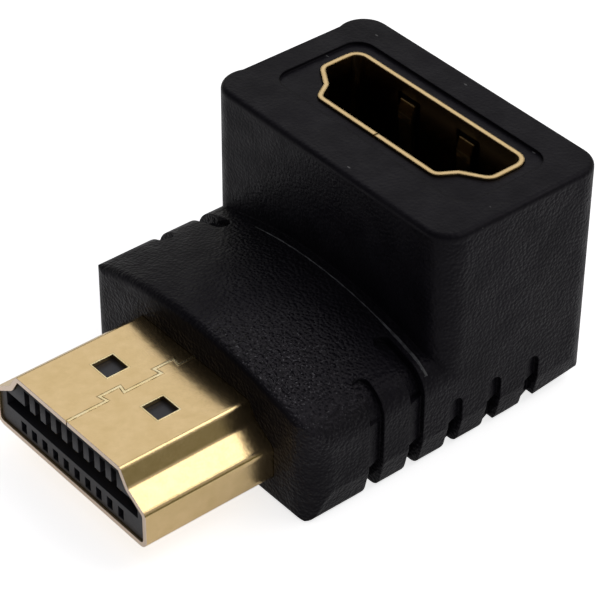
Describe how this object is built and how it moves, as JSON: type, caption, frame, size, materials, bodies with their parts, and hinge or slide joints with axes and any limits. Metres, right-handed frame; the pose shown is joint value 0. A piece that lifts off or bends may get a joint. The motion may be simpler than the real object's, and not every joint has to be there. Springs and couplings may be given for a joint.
{
  "type": "right angle video adapter",
  "caption": "Right angle digital video adapter: a gold-coloured male plug at one end of a low black moulded block, and a female socket in the top of the tower behind it.",
  "frame": {"origin": "middle of the base, under the centre of the whole adapter", "axes": "-X is the way the plug points, +Y is across the housing, +Z is the way the socket opens"},
  "size_m": [0.0298, 0.0202, 0.0152],
  "materials": {
    "overmould": "fine pebbled",
    "inner_mould": "plain",
    "gold_shell": "gold plated sheet",
    "plug_insulator": "plain",
    "socket_insulator": "plain",
    "contacts": "gold plated",
    "board": "green solder mask"
  },
  "bodies": {
    "root": {"overmould": "overmould", "inner_mould": "inner_mould", "plug_shell": "gold_shell", "plug_insulator": "plug_insulator", "socket_shell": "gold_shell", "socket_insulator": "socket_insulator", "circuit_board": "board", "plug_contact_1": "contacts", "plug_contact_2": "contacts", "plug_contact_3": "contacts", "plug_contact_4": "contacts", "plug_contact_5": "contacts", "plug_contact_6": "contacts", "plug_contact_7": "contacts", "plug_contact_8": "contacts", "plug_contact_9": "contacts", "plug_contact_10": "contacts", "plug_contact_11": "contacts", "plug_contact_12": "contacts", "plug_contact_13": "contacts", "plug_contact_14": "contacts", "plug_contact_15": "contacts", "plug_contact_16": "contacts", "plug_contact_17": "contacts", "plug_contact_18": "contacts", "plug_contact_19": "contacts", "socket_contact_1": "contacts", "socket_contact_2": "contacts", "socket_contact_3": "contacts", "socket_contact_4": "contacts", "socket_contact_5": "contacts", "socket_contact_6": "contacts", "socket_contact_7": "contacts", "socket_contact_8": "contacts", "socket_contact_9": "contacts", "socket_contact_10": "contacts", "socket_contact_11": "contacts", "socket_contact_12": "contacts", "socket_contact_13": "contacts", "socket_contact_14": "contacts", "socket_contact_15": "contacts", "socket_contact_16": "contacts", "socket_contact_17": "contacts", "socket_contact_18": "contacts", "socket_contact_19": "contacts"}
  },
  "joints": []
}
